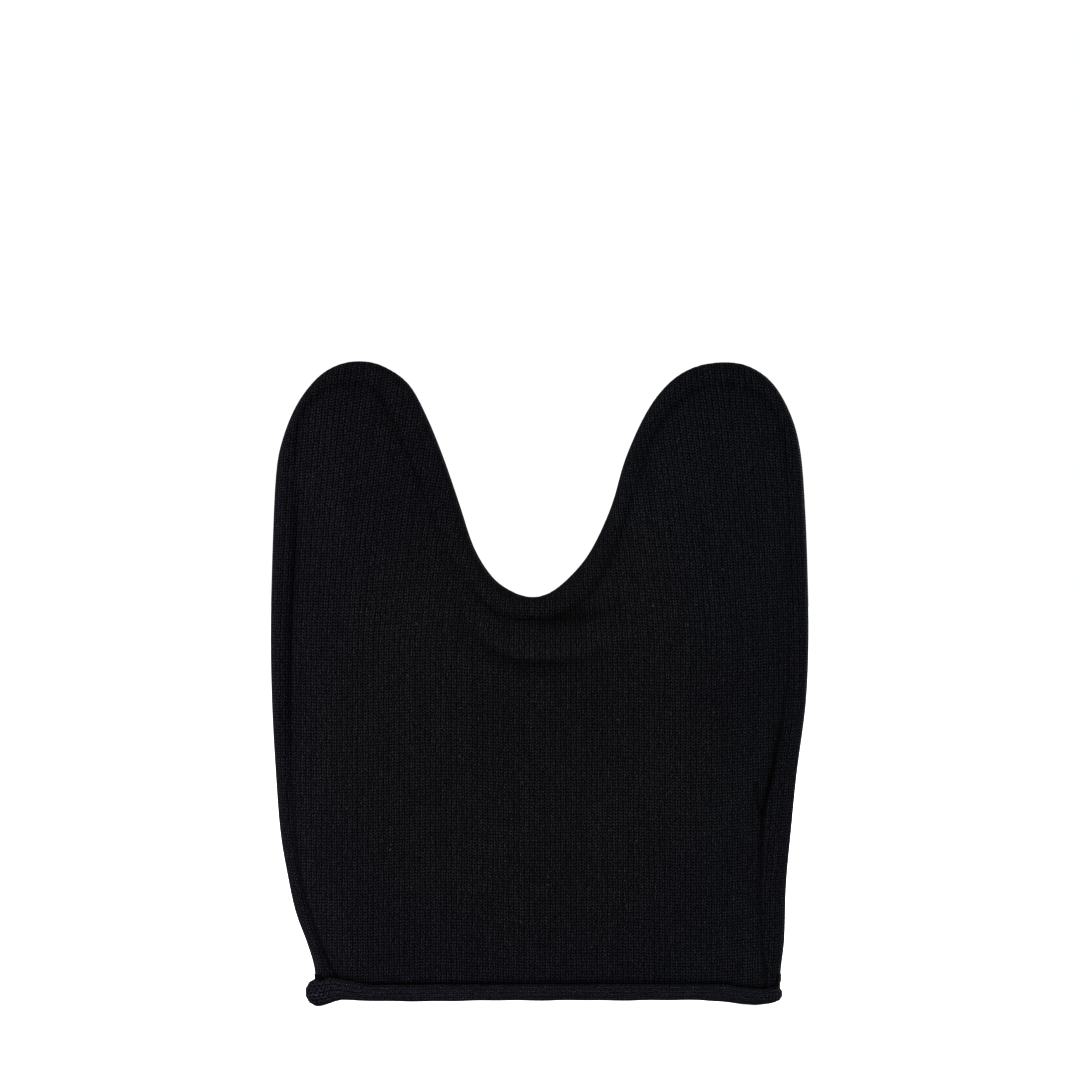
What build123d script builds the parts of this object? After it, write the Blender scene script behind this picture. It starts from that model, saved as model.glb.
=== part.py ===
from build123d import *

"""A horned balaclava: two panels of black knit, seamed all round into a soft hood with two blunt
horns, with a rolled trim round the neck and another round the face opening.

Millimetres. +Z is up, towards the horns. +Y is the wearer's face, -Y the back of the head, and
+X the wearer's right. The origin is the middle of the neck opening, at the foot of the hem roll.
"""

import os
from math import acos, atan2, cos, degrees, hypot, radians, sin, tan

# The hood's outline, seen from the back
HOOD_WIDTH = 247.0  # side seam to side seam at the widest
HEM_TAPER = 16.0  # each side seam comes in this far from there to the hem
CROWN_HEIGHT = 187.5  # lowest point of the dip between the horns
WIDEST_BELOW_CROWN = 16.5
DIP_RADIUS = 26.0
HORN_LENGTH = 108.5  # from the crown up to the tips
TIP_RADIUS = 34.0
TIP_IN = 6.5  # the tips' outer sides stand this far in from the widest

# The cloth, and how far the two panels stand apart
KNIT = 2.2  # thickness of the cloth
LOFT = 26.0  # outside of the back to outside of the front
TIP_FLAT = 7.0  # radius over which the full loft is kept at a tip

# The seam round the whole outline, turned to the inside
ALLOWANCE = 10.0  # width of the turned-in edges
ALLOWANCE_THICK = 2.1  # of each panel's edge
ALLOWANCE_ROOM = 0.5  # from there to the inside of the cloth
RIDGE_RISE = 1.4  # the cloth climbs this much from the seam line to the raw edge
OVERLOCK_WIDTH = 3.0  # the thread that wraps both raw edges
OVERLOCK_THICK = 0.6
OVERLOCK_PAST = 1.0  # how far it reaches past the raw edge

# The rolled trims
HEM_ROLL = 10.0  # diameter
HEM_SEAT = 3.0  # how far the panels reach down into the roll
MOUTH_IN = 1.2  # the roll's middle stands this far in from the side seams
MOUTH_END = 6.0  # half the depth of the mouth at its two ends
FACE_ROLL = 8.0  # diameter
FACE_WIDTH = 108.0  # cut in the front panel, before the roll goes on
FACE_HEIGHT = 62.0
BROW = 2.0  # room over the face trim, below where the cloth slopes to the crown
LINKING_THREAD = 0.8  # diameter of the thread that links the trims on
LINKING_GAP = 0.8  # from a roll to its linking thread

# The fold at the foot of each horn
FOLD_ABOVE_CROWN = 26.5
FOLD_ANGLE = 90.0  # a horn flops this far to either side
FOLD_GAP = 0.3  # room on each side of the fold line

# Care label inside the left side seam, and tacks over the seams' lower ends
LABEL_LENGTH = 42.0
LABEL_WIDTH = 28.0
LABEL_THICK = 0.5
LABEL_FOOT = 62.0  # height of its lower edge
LABEL_STITCHES = 8
STITCH = (0.7, 0.3, 3.0)  # width, thickness, length
TACK_LENGTH = 5.0
TACK_WIDTH = 4.0
TACK_THICK = 0.5

half_width = HOOD_WIDTH / 2
half_hem = half_width - HEM_TAPER
hem_line = HEM_ROLL - HEM_SEAT
widest_z = CROWN_HEIGHT - WIDEST_BELOW_CROWN
tip_x = half_width - TIP_IN - TIP_RADIUS
tip_z = CROWN_HEIGHT + HORN_LENGTH - TIP_RADIUS
dip_z = CROWN_HEIGHT + DIP_RADIUS
fold_z = CROWN_HEIGHT + FOLD_ABOVE_CROWN
below = 4 * HEM_ROLL  # the outline runs on this far under the hem, to be cut there
far = 2 * (HOOD_WIDTH + CROWN_HEIGHT + HORN_LENGTH)  # well past the hood on every side

ridge = KNIT + ALLOWANCE_THICK + ALLOWANCE_ROOM  # half depth over the seam
full_inset = TIP_RADIUS - TIP_FLAT  # how far inside the outline the full loft is reached
cloth_middle = (LOFT - KNIT) / 2
overlock_start = KNIT + ALLOWANCE + OVERLOCK_PAST - OVERLOCK_WIDTH
overlock_end = overlock_start + OVERLOCK_WIDTH
overlock_reach = ALLOWANCE_THICK + OVERLOCK_THICK
linking_offset = LINKING_GAP + LINKING_THREAD / 2
face_reach = FACE_HEIGHT / 2 + FACE_ROLL / 2 + LINKING_GAP + LINKING_THREAD
face_z = CROWN_HEIGHT - full_inset - KNIT - BROW - face_reach

# (inset from the outline, half depth) of the cloth's outside and of its inside
OUTSIDE = [
    (0.0, 0.0),
    (0.7, 0.6 * ridge),
    (0.3 * ALLOWANCE, ridge),
    (ALLOWANCE + KNIT, ridge + RIDGE_RISE),
    (full_inset, LOFT / 2),
]
INSIDE = [
    (KNIT, 0.0),
    (KNIT + 0.7, 0.6 * (ridge - KNIT)),
    (0.3 * ALLOWANCE + 0.5 * KNIT, ridge - KNIT),
    (ALLOWANCE + 1.2 * KNIT, ridge + RIDGE_RISE - KNIT),
    (full_inset + 0.2 * KNIT, LOFT / 2 - KNIT),
]


def on_circle(centre, radius, angle):
    """The point of a circle at an angle in degrees."""
    return (centre[0] + radius * cos(radians(angle)), centre[1] + radius * sin(radians(angle)))


def mirrored(point):
    return (-point[0], point[1])


def outline(inset, depth):
    """The panel's outline drawn in by inset, as a face at that depth. Its arcs keep their centres."""
    drop = widest_z - hem_line
    lower_radius = (HEM_TAPER**2 + drop**2) / (2 * HEM_TAPER)
    lower_centre = (half_width - lower_radius, widest_z)
    hem_angle = -degrees(atan2(drop, lower_radius - HEM_TAPER))

    rise = tip_z - widest_z
    upper_radius = (rise**2 + TIP_IN**2 + 2 * TIP_IN * TIP_RADIUS) / (2 * TIP_IN)
    upper_centre = (half_width - upper_radius, widest_z)
    shoulder = degrees(atan2(rise, tip_x - upper_centre[0]))

    apart = hypot(tip_x, tip_z - dip_z)
    bearing = degrees(atan2(tip_z - dip_z, tip_x))
    slant = 180 + bearing - degrees(acos((TIP_RADIUS + DIP_RADIUS) / apart))

    tip = (tip_x, tip_z)
    dip = (0.0, dip_z)
    hem = on_circle(lower_centre, lower_radius - inset, hem_angle)
    foot = on_circle(hem, below, hem_angle - 90)
    low_middle = on_circle(lower_centre, lower_radius - inset, hem_angle / 2)
    widest = (half_width - inset, widest_z)
    high_middle = on_circle(upper_centre, upper_radius - inset, shoulder / 2)
    tip_start = on_circle(tip, TIP_RADIUS - inset, shoulder)
    tip_middle = on_circle(tip, TIP_RADIUS - inset, (shoulder + slant) / 2)
    tip_end = on_circle(tip, TIP_RADIUS - inset, slant)
    dip_start = on_circle(dip, DIP_RADIUS + inset, slant - 180)
    dip_low = (0.0, dip_z - DIP_RADIUS - inset)

    right = [
        Line(foot, hem),
        ThreePointArc(hem, low_middle, widest),
        ThreePointArc(widest, high_middle, tip_start),
        ThreePointArc(tip_start, tip_middle, tip_end),
        Line(tip_end, dip_start),
    ]
    left = [
        Line(mirrored(dip_start), mirrored(tip_end)),
        ThreePointArc(mirrored(tip_end), mirrored(tip_middle), mirrored(tip_start)),
        ThreePointArc(mirrored(tip_start), mirrored(high_middle), mirrored(widest)),
        ThreePointArc(mirrored(widest), mirrored(low_middle), mirrored(hem)),
        Line(mirrored(hem), mirrored(foot)),
    ]
    crown = ThreePointArc(dip_start, dip_low, mirrored(dip_start))
    curves = [*right, crown, *left, Line(mirrored(foot), foot)]
    flat = Face(Wire([edge for curve in curves for edge in curve.edges()]))
    return Plane((0, depth, 0), x_dir=(1, 0, 0), z_dir=(0, -1, 0)) * flat


def half_pillow(stations, side):
    """A solid through the outline at each station, on one side of the seam's plane."""
    return loft([outline(inset, side * depth) for inset, depth in stations], ruled=True)


def band(outer_inset, inner_inset, low, high):
    """A flat band along the outline, between two insets and two depths."""
    ring = outline(outer_inset, high) - outline(inner_inset, high)
    return extrude(ring, amount=high - low, dir=(0, -1, 0))


def block(x, y, z):
    """A box from (low, high) pairs."""
    sizes = [high - low for low, high in (x, y, z)]
    middle = [(high + low) / 2 for low, high in (x, y, z)]
    return Pos(*middle) * Box(*sizes)


def fold_zone(side):
    """All that is above a V whose point is the fold line (side 1), or below one upside down (-1)."""
    start = fold_z + side * FOLD_GAP
    turn = start + side * LOFT * tan(radians(FOLD_ANGLE / 2))
    end = start + side * far
    v_shape = Polyline((0, start), (LOFT, turn), (LOFT, end), (-LOFT, end), (-LOFT, turn), close=True)
    section = Plane((-far, 0, 0), x_dir=(0, 1, 0), z_dir=(1, 0, 0)) * make_face(v_shape)
    return extrude(section, amount=2 * far, dir=(1, 0, 0))


def panel(side):
    """One knit panel with its turned-in seam allowance: side -1 is the back, 1 the front."""
    wall = half_pillow(OUTSIDE, side) - half_pillow(INSIDE, side)
    low, high = sorted((0.0, side * ALLOWANCE_THICK))
    turned_in = band(KNIT, KNIT + ALLOWANCE, low, high)
    return (wall + turned_in) & block((-far, far), (-far, far), (hem_line, far))


def overlock():
    """The thread that wraps both raw edges, as a thin casing all round."""
    casing = band(overlock_start, overlock_end, -overlock_reach, overlock_reach)
    edges = band(KNIT, KNIT + ALLOWANCE, -ALLOWANCE_THICK, ALLOWANCE_THICK)
    return (casing - edges) & block((-far, far), (-far, far), (HEM_ROLL, far))


def face_cut():
    """The face opening as a prism through the front panel."""
    oval = Plane((0, 0, face_z), x_dir=(1, 0, 0), z_dir=(0, 1, 0)) * Ellipse(
        FACE_WIDTH / 2, FACE_HEIGHT / 2
    )
    return extrude(oval, amount=LOFT, dir=(0, 1, 0))


def face_ring(grow, depth, diameter):
    """A round cord along the face opening."""
    plane = Plane((0, depth, face_z), x_dir=(1, 0, 0), z_dir=(0, -1, 0))
    oval = plane * Ellipse(FACE_WIDTH / 2 + grow, FACE_HEIGHT / 2 + grow)
    path = oval.faces()[0].outer_wire()
    start = Plane(origin=path @ 0, z_dir=path % 0)
    return sweep(start * Circle(diameter / 2), path=path)


def hem_ring():
    """The rolled trim round the mouth, before the panels' edges are let into it."""
    end_x = half_hem - KNIT / 2 - MOUTH_IN
    full_x = half_hem - full_inset
    quarter = [(end_x, MOUTH_END), (full_x, cloth_middle)]
    corners = [
        *quarter,
        *[(-x, y) for x, y in reversed(quarter)],
        *[(-x, -y) for x, y in quarter],
        *[(x, -y) for x, y in reversed(quarter)],
    ]
    slope = degrees(atan2(cloth_middle - MOUTH_END, end_x - full_x))
    end_radius = 0.97 * MOUTH_END
    end_run = end_radius * tan(radians((90 - slope) / 2))
    spare = hypot(end_x - full_x, cloth_middle - MOUTH_END) - end_run
    bend_radius = 0.8 * spare / tan(radians(slope / 2))
    radii = [end_radius, bend_radius, bend_radius, end_radius] * 2
    path = Pos(0, 0, HEM_ROLL / 2) * FilletPolyline(*corners, radius=radii, close=True)
    wire = Wire(path.edges())
    start = Plane(origin=wire @ 0, z_dir=wire % 0)
    return sweep(start * Circle(HEM_ROLL / 2), path=wire)


def hem_links():
    """The two straight runs of thread that link the hem roll to the panels."""
    run = half_hem - full_inset - LINKING_GAP
    depth = LOFT / 2 - KNIT - LINKING_THREAD / 2
    height = HEM_ROLL + linking_offset
    return [
        Pos(0, side * depth, height) * Rot(0, 90, 0) * Cylinder(LINKING_THREAD / 2, 2 * run)
        for side in (-1, 1)
    ]


def hem_tacks(hood_body):
    """A few turns of thread over each side seam, just above the roll."""
    reach = ridge + TACK_THICK
    edge = half_hem + TACK_THICK
    turns = []
    for side in (-1, 1):
        x = sorted((side * (edge - TACK_LENGTH), side * edge))
        around = block(x, (-reach, reach), (HEM_ROLL, HEM_ROLL + TACK_WIDTH))
        turns.append((around - hood_body).solids().sort_by(SortBy.VOLUME)[-1])
    return turns


def seam_x(height):
    """Where the left overlock's inner edge is, at a height below the widest."""
    drop = widest_z - hem_line
    radius = (HEM_TAPER**2 + drop**2) / (2 * HEM_TAPER)
    inner = radius - overlock_end
    return -(half_width - radius + (inner**2 - (widest_z - height) ** 2) ** 0.5)


def label_and_stitches():
    """The blank care label on the overlock's inner side, and the row of stitches that holds it."""
    grip = seam_x(LABEL_FOOT) - OVERLOCK_WIDTH / 2
    depth = (overlock_reach, overlock_reach + LABEL_THICK)
    top = LABEL_FOOT + LABEL_LENGTH
    label = block((grip, grip + LABEL_WIDTH), depth, (LABEL_FOOT, top))
    width, thick, length = STITCH
    pitch = LABEL_LENGTH / LABEL_STITCHES
    stitches = [
        Pos(grip + width, depth[1] + thick / 2, LABEL_FOOT + (i + 0.5) * pitch)
        * Box(width, thick, length)
        for i in range(LABEL_STITCHES)
    ]
    return label, stitches


def near(shape, test):
    """The solids of a shape whose middle meets a test."""
    return [solid for solid in shape.solids() if test(solid.center())]


def save(name, solids):
    shape = solids[0] if len(solids) == 1 else Compound(children=solids)
    export_step(shape, f"parts/{name}.step")
    print(f"{name}: {len(solids)} solid(s), {sum(s.volume for s in solids):.1f} mm3")


def main():
    os.makedirs("parts", exist_ok=True)
    horns = fold_zone(1)
    hood = fold_zone(-1)
    back = panel(-1)
    front = panel(1) - face_cut()
    wrap = overlock()

    save("back_panel", (back & hood).solids())
    save("front_panel", (front & hood).solids())
    for name, side in (("left", -1), ("right", 1)):
        def here(c, side=side):
            return side * c.X > 0

        def at_side(c, side=side):
            return side * c.X > half_hem / 2

        save(f"{name}_horn_back", near(back & horns, here))
        save(f"{name}_horn_front", near(front & horns, here))
        save(f"{name}_horn_seam_thread", near(wrap & horns, here))
        save(f"{name}_side_seam_thread", near(wrap & hood, at_side))
        bends = [near(piece - horns - hood, here) for piece in (back, front, wrap)]
        save(f"{name}_fold_cloth", [solid for piece in bends for solid in piece])
    save("crown_seam_thread", near(wrap & hood, lambda c: abs(c.X) < half_hem / 2))

    hem = hem_ring() - back - front
    save("hem_roll", hem.solids())
    save("hem_linking_thread", hem_links())
    filled = half_pillow(OUTSIDE, -1) + half_pillow(OUTSIDE, 1)
    save("hem_tacks", hem_tacks(filled + hem_ring()))

    save("face_roll", (face_ring(0.0, cloth_middle, FACE_ROLL) - front).solids())
    inside_face = LOFT / 2 - KNIT - LINKING_THREAD / 2
    thread = face_ring(FACE_ROLL / 2 + linking_offset, inside_face, LINKING_THREAD)
    save("face_linking_thread", thread.solids())

    label, stitches = label_and_stitches()
    save("care_label", label.solids())
    save("label_stitches", stitches)


main()
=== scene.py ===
from math import cos, pi, radians, sin

import bmesh
import bpy
import numpy as np
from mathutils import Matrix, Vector


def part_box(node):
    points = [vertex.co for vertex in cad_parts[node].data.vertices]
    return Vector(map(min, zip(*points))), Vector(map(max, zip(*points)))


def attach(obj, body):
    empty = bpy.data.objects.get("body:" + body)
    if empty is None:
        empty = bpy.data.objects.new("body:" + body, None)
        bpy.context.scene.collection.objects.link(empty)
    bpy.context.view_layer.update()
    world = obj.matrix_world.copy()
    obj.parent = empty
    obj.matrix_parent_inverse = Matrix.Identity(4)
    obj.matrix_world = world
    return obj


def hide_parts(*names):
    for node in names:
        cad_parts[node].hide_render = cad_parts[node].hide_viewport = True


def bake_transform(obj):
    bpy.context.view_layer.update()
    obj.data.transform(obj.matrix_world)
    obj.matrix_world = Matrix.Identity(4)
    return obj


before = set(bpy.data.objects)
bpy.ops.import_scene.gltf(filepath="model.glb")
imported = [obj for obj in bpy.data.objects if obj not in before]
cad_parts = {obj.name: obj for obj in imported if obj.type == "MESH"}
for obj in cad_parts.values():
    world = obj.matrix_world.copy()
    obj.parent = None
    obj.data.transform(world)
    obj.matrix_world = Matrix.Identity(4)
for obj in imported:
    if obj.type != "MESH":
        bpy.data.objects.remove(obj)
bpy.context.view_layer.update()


# ---------------------------------------------------------------------------
# The cut of the hood. Both panels are cut to one outline, with two blunt horns and a dip between
# them. Their seam allowances are turned inside, and a groove shows on the face where they end.
# ---------------------------------------------------------------------------
outline_points = [
    (-103.5, -30), (-103.5, 0), (-103.5, 15), (-106.9, 27.5), (-112.4, 42.5), (-116.2, 60),
    (-119.5, 80), (-121.6, 108), (-123.2, 138), (-123.8, 170), (-123.0, 208), (-121.4, 243),
    (-118.4, 259.5), (-111.9, 275.5), (-102.7, 287.7), (-93.2, 293.8), (-83.0, 295.6),
    (-72.5, 293.5), (-60.8, 285.5), (-52.6, 271.2), (-44.5, 251.5), (-37.1, 230), (-30.4, 210),
    (-22.0, 196.5), (-12.8, 189.7), (-4.0, 187.2), (4.6, 189.2), (14.3, 197), (23.7, 209),
    (32.9, 229), (39.4, 251), (49.3, 272.6), (59.8, 286), (71.1, 292.9), (83.7, 295.1),
    (95.7, 293.4), (106.8, 285.7), (115.2, 271.3), (119.8, 254), (121.9, 228), (123.0, 200),
    (123.5, 168), (122.2, 138), (118.3, 108), (115.5, 80), (113.2, 55), (112.4, 30),
    (110.7, 15), (110.4, 0), (110.4, -30),
]
groove_points = [
    (-89.0, -30), (-90.0, 0), (-93.4, 13), (-99.4, 25), (-106.0, 44), (-110.4, 62), (-113.6, 94),
    (-115.0, 130), (-114.5, 168), (-113.2, 200), (-111.8, 235), (-112.0, 258), (-109.0, 271),
    (-102.1, 279.7), (-93.5, 284.3), (-85.0, 285.2), (-78.2, 283.8), (-72.8, 279), (-67.5, 269),
    (-60.0, 253), (-51.0, 230), (-43.0, 210), (-34.7, 195.8), (-23.5, 182.8), (-13.8, 178.2),
    (-4.0, 177.2), (5.5, 177.8), (18.4, 184.5), (28.1, 195.5), (36.0, 213), (43.5, 236),
    (50.5, 257), (58.5, 270.5), (70.0, 281.5), (84.0, 285), (98.0, 282), (108.1, 272.3),
    (112.4, 257), (113.8, 236), (115.0, 200), (114.8, 162), (112.7, 140), (108.7, 116),
    (105.2, 99), (102.4, 86), (101.5, 68), (101.2, 45), (102.2, 25), (103.5, 12), (103.5, -30),
]


def smooth_through(points, steps):
    """A smooth line through the points, with so many steps between each two of them."""
    p = np.array([points[0], *points, points[-1]], float)
    t = np.linspace(0, 1, steps, endpoint=False)[:, None]
    runs = []
    for a, b, c, d in zip(p, p[1:], p[2:], p[3:]):
        runs.append(
            0.5 * (2 * b + (c - a) * t + (2 * a - 5 * b + 4 * c - d) * t**2
                   + (3 * b - a - 3 * c + d) * t**3)
        )
    return np.concatenate([*runs, p[-1:]])


def beside(line, points):
    """For each point, how far it is to the right of a line, and how far along the line."""
    start, run = line[:-1], np.diff(line, axis=0)
    length = np.linalg.norm(run, axis=1)
    before = np.concatenate([[0], np.cumsum(length)[:-1]])
    distance = np.empty(len(points))
    along = np.empty(len(points))
    for low in range(0, len(points), 2000):
        some = points[low:low + 2000]
        off_x = some[:, :1] - start[:, 0]
        off_z = some[:, 1:] - start[:, 1]
        share = np.clip((off_x * run[:, 0] + off_z * run[:, 1]) / length**2, 0, 1)
        off_x -= share * run[:, 0]
        off_z -= share * run[:, 1]
        gap = off_x**2 + off_z**2
        nearest = gap.argmin(1)
        row = np.arange(len(some))
        turn = off_x[row, nearest] * run[nearest, 1] - off_z[row, nearest] * run[nearest, 0]
        distance[low:low + 2000] = np.sqrt(gap[row, nearest]) * np.where(turn < 0, -1, 1)
        along[low:low + 2000] = before[nearest] + share[row, nearest] * length[nearest]
    return distance, along


# Both lines are measured once on a grid of 1 mm steps, and read from it after that.
field_x = np.arange(-144.0, 145.0)
field_z = np.arange(-8.0, 318.0)
field_points = np.stack(np.meshgrid(field_x, field_z), axis=-1).reshape(-1, 2)


def field_of(values):
    return values.reshape(len(field_z), len(field_x))


def sample(field, x, z):
    """A field's value between its own points."""
    i = np.clip((x - field_x[0]), 0, len(field_x) - 1.001)
    j = np.clip((z - field_z[0]), 0, len(field_z) - 1.001)
    i0, j0 = i.astype(int), j.astype(int)
    u, v = i - i0, j - j0
    near = field[j0, i0] * (1 - u) + field[j0, i0 + 1] * u
    far = field[j0 + 1, i0] * (1 - u) + field[j0 + 1, i0 + 1] * u
    return near * (1 - v) + far * v


curve_steps = 4
outline = smooth_through(outline_points, curve_steps)
groove = smooth_through(groove_points, curve_steps)
inset_field = field_of(beside(outline, field_points)[0])
open_field = field_of(beside(groove, field_points)[0])
way_z_field, way_x_field = np.gradient(inset_field)

# ---------------------------------------------------------------------------
# The two knit panels. Black stockinette, about 2.4 mm a column and 1.4 mm a row, as it comes off
# the machine. Each is made in two halves that meet in a groove between two columns of stitches,
# and each half's edge turns round the silhouette and runs inside as the seam allowance.
# ---------------------------------------------------------------------------
mm = 0.001
wale, course = 2.38, 1.41
knit_thick = 2.2
edge_wrap = 3.6  # cloth past the silhouette, which goes round the edge to the seam
edge_round = 4.0
allowance = 10.6
ridge_high = 6.0
cloth_high = 12.4
pillow_wide = 32.0  # from the groove to where the cloth lies level
rib_high = 0.30
half_wide, panel_high = 139.0, 305.0
panel_foot = 6.2
quads_per_wale = 4
face_half_width, face_half_height = 54.0, 31.0
face_low, face_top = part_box("face_roll")
face_z = (face_low.z + face_top.z) / 2 / mm


def softened(field, reach):
    """A field blurred over a reach in millimetres."""
    steps = np.arange(-int(3 * reach), int(3 * reach) + 1)
    weight = np.exp(-((steps / reach) ** 2))
    weight /= weight.sum()
    for axis in (0, 1):
        pad = [(0, 0), (0, 0)]
        pad[axis] = (len(steps) // 2, len(steps) // 2)
        wide = np.pad(field, pad, mode="edge")
        count = field.shape[axis]
        field = sum(
            w * np.take(wide, range(k, k + count), axis=axis) for k, w in enumerate(weight)
        )
    return field


def ramp(value, low, high):
    """0 below low, 1 above high, and smooth between."""
    t = np.clip((value - low) / (high - low), 0, 1)
    return t * t * (3 - 2 * t)


def hump(value, width):
    return np.exp(-((value / width) ** 2))


# The two panels stand apart most in the middle, and come down to the seam's ridge at the groove.
rising = np.clip(open_field / pillow_wide, 0, 1)
pillow_soft = 5.0
pillow_field = softened((cloth_high - ridge_high) * (1 - (1 - rising) ** 2), pillow_soft)

crease = smooth_through([(44, 166), (30, 161), (15, 158.4), (0, 158), (-11, 158.8), (-20, 162.5),
                         (-27, 168), (-33, 175), (-38, 183)], curve_steps)
smile = smooth_through([(-46, 112), (-27, 102), (-2, 97.6), (27, 97)], curve_steps)
pucker = smooth_through([(98.6, 101.5), (99.4, 95), (101.8, 88)], curve_steps)
tucks = [((-32, 174), (-30, 168)), ((-26, 171), (-23.5, 164)), ((-20, 169), (-17, 161.5)),
         ((-10, 166), (-8.6, 159)), ((-3, 166), (-2.4, 159)), ((4, 166), (4, 159)),
         ((12, 166), (12, 159)), ((19, 167), (19, 160))]
crease_depth, crease_swell, crease_slack = 1.2, 0.3, 0.5
smile_depth, pucker_depth, tuck_rise = 0.55, 1.5, 0.45


def hem_top(x):
    """Height of the line where the hem roll meets the cloth."""
    return np.interp(x, [-104, -101.6, -95, -86, -76, -40, 0, 60, 84, 90, 97, 102, 105, 107.5, 110],
                     [11.0, 11.3, 12.4, 10.8, 9.6, 9.9, 10.1, 10.2, 9.9, 8.5, 7.6, 7.2, 7.4, 8.3, 8.8])


def crease_fade(along):
    """The crease is deepest at its middle, and dies away towards both ends."""
    return hump(along - 48, 32)


def back_creases(x, z):
    """The pulled crease under the dip, and the smaller ones round it."""
    points = np.stack([x, z], axis=1)
    above, along = beside(crease, points)
    fade = crease_fade(along)
    change = fade * (crease_swell * hump(above - 5.0, 4.0) - crease_depth * hump(above + 1.2, 1.7))
    change -= crease_slack * fade * hump(above + 4.5, 3.5)
    below, along = beside(smile, points)
    change -= smile_depth * hump(below, 1.6) * hump(along - 40, 40)
    off, _ = beside(pucker, points)
    change -= pucker_depth * hump(off, 1.1)
    for (x0, z0), (x1, z1) in tucks:
        share = ((x - x0) * (x1 - x0) + (z - z0) * (z1 - z0)) / ((x1 - x0) ** 2 + (z1 - z0) ** 2)
        share = np.clip(share, 0, 1)
        gap = np.hypot(x - x0 - share * (x1 - x0), z - z0 - share * (z1 - z0))
        change += tuck_rise * hump(gap, 0.9)
    return change


crease_field = field_of(back_creases(field_points[:, 0], field_points[:, 1]))


def groove_strength(x, z):
    """How sharply the groove shows, from 0 to 1: most at the sides and under the dip."""
    low_side = 1 - ramp(z, 238, 262)
    left = ramp(-x, 85, 100) * low_side * (0.08 + 0.62 * ramp(z, 95, 135) * (1 - ramp(z, 215, 250)))
    right = ramp(x, 85, 98) * low_side * (0.04 + 0.96 * hump(z - 104, 32))
    dip = hump(x + 3, 30) * (1 - ramp(z, 198, 214)) * ramp(z, 150, 165)
    top = 0.5 * ramp(z, 262, 276)
    rest = 0.3 + 0.12 * np.sin(x / 9 + z / 13)
    rest = rest * (1 - ramp(np.abs(x), 85, 98) * low_side)
    return np.maximum.reduce([left, right, dip, top, rest])


def hollow_at(x, z, opened):
    """The slack hollow to the right of the dip, just under the groove."""
    return hump(x - 17, 17) * hump(z - 174.5 - 0.22 * x, 4.5) * ramp(opened, -0.5, 1.5)


groove_least, groove_most, groove_wide = 0.3, 2.0, 1.35
seam_swell, hollow_depth, hem_dip, wave_high = 0.6, 0.6, 2.2, 0.35


def relief(x, z, back):
    """Half depth of the hood's outside over a point of the panel, without its ribs."""
    opened = sample(open_field, x, z)
    height = ridge_high + seam_swell * hump(opened + 5.0, 3.6) + sample(pillow_field, x, z)
    groove_depth = groove_least + groove_most * groove_strength(x, z)
    height = height - groove_depth * hump(opened - 0.2, groove_wide)
    if back:
        height = height + sample(crease_field, x, z)
        height = height - hollow_depth * hollow_at(x, z, opened)
    level = ramp(opened, 0, 25)
    height = height + wave_high * level * np.sin(x / 21 + 1.3 * np.sin(z / 37)) * np.sin(z / 29 + 0.8)
    return height - hem_dip * hump(z - hem_top(x) - 0.2, 1.5)


def stitch_grid(x, z):
    """Columns and rows of stitches at a point of the panel."""
    # The columns lean outwards with the horns, and the turned edge follows the sides near the hem.
    rise = np.maximum(z - 160, 0) ** 2 / (np.maximum(z - 160, 0) + 30)
    most = np.where(x < 0, 0.17, -0.145)
    lean = most * (1 - 0.7 * np.clip((np.abs(x) - 45) / 75, 0, 1)) * ramp(np.abs(x), 4, 34)
    left_low = np.interp(z, [0, 15, 27.5, 42.5, 60, 80, 108], [18, 18, 14.8, 9.2, 5.5, 2.1, 0])
    right_low = np.interp(z, [0, 15, 30, 55, 80, 108, 140], [-10, -10, -9, -8.6, -6.5, -4, 0])
    follow = np.where(x < 0, left_low, right_low)
    follow = follow * (1 - ramp(sample(open_field, x, z), -0.7, 0.9))
    columns = (x - lean * rise - follow) / wale
    rows = z / course + 0.5 * np.sin(x / 31) + 0.35 * np.sin(x / 13 + 2)
    rows += 0.1 * np.abs(np.abs(x) - 60) * ramp(z, 190, 250) / course
    return columns, rows


def tone_of(x, z, opened, back):
    """How far the stitches are pulled smooth where creased, and the painted shade: darker along the
    grooves, the hem line, the crease, hollow and pucker, and lighter as painted light at the lower left
    edge and above the crease.
    """
    pull = np.zeros(len(x))
    strength = groove_strength(x, z)
    # Painted shade: the cloth is darkened along the groove, in a broad band beside it, and in the line
    # over the hem roll.
    groove_painted_shade = (0.06 + 0.38 * strength) * hump(opened - 0.2, 0.9)
    beside_groove_painted_shade = 0.18 * strength * hump(opened - 0.8, 2.6)
    over_hem_painted_shade = 0.9 * hump(z - hem_top(x) - 0.7, 0.75)
    # Painted light: the lower left edge is made lighter, where it faces the light, and this is taken
    # off the shade.
    lower_left_painted_light = 0.16 * hump(x + 108, 11) * (1 - ramp(z, 35, 85))
    shade = groove_painted_shade + beside_groove_painted_shade + over_hem_painted_shade - lower_left_painted_light
    if back:
        points = np.stack([x, z], axis=1)
        above, along = beside(crease, points)
        fade = crease_fade(along)
        hollow = hollow_at(x, z, opened)
        pull = np.maximum(0.7 * hump(above - 4.5, 4) * fade, 0.9 * hollow)
        off, _ = beside(pucker, points)
        # Painted shade: darker along the crease, in the band under it, in the hollow and along the
        # pucker; painted light makes the band over the crease lighter.
        crease_painted_shade = 0.44 * fade * hump(above + 0.6, 1.6)
        under_crease_painted_shade = 0.24 * fade * hump(above + 4.0, 3.2)
        over_crease_painted_light = 0.1 * fade * hump(above - 3.5, 2.5)
        pucker_painted_shade = 0.45 * hump(off, 0.9)
        shade = shade + 0.5 * hollow + crease_painted_shade + under_crease_painted_shade - over_crease_painted_light + pucker_painted_shade
    return pull, np.clip(shade, -0.25, 0.92)


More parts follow.
